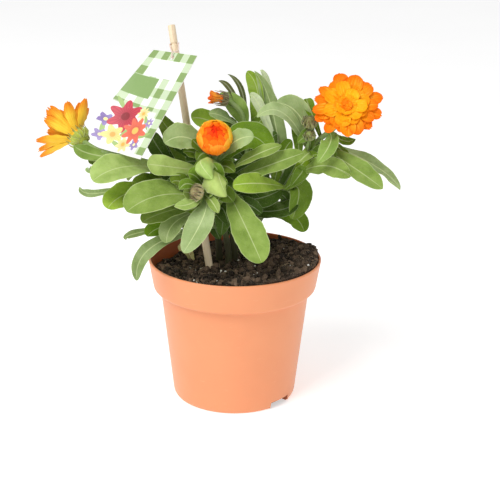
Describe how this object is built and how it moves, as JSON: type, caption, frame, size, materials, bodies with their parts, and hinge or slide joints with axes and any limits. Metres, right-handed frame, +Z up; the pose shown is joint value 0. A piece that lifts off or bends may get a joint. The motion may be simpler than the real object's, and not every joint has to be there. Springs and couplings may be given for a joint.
{
  "type": "potted calendula",
  "caption": "Flowering calendula in a round tapered nursery pot, with leafy shoots, open and half-open orange blooms, and a picture card hanging from a wooden stake.",
  "frame": {"origin": "centre of the pot's base, on the surface that it stands on", "axes": "+Z up along the pot's axis, -Y towards the viewer, +X to the viewer's right"},
  "size_m": [0.2448, 0.1311, 0.2566],
  "materials": {
    "pot_plastic": "satin moulded plastic",
    "potting_soil": "crumbly moist soil",
    "stake_wood": "bare wood",
    "card_print": "coated print",
    "tie_elastic": "thin elastic",
    "leaf_green": "soft, finely hairy leaf",
    "petal_orange": "velvety petal",
    "withered_leaf": "dry leaf"
  },
  "bodies": {
    "root": {"pot": "pot_plastic", "soil": "potting_soil", "stake": "stake_wood", "card": "card_print", "card_tie": "tie_elastic", "shoot_left": "leaf_green", "shoot_low": "leaf_green", "shoot_center": "leaf_green", "shoot_back": "leaf_green", "shoot_right": "leaf_green", "bloom_left": "petal_orange", "bloom_right": "petal_orange", "bloom_center": "petal_orange", "bloom_bud": "petal_orange", "dead_leaf": "withered_leaf"}
  },
  "joints": []
}
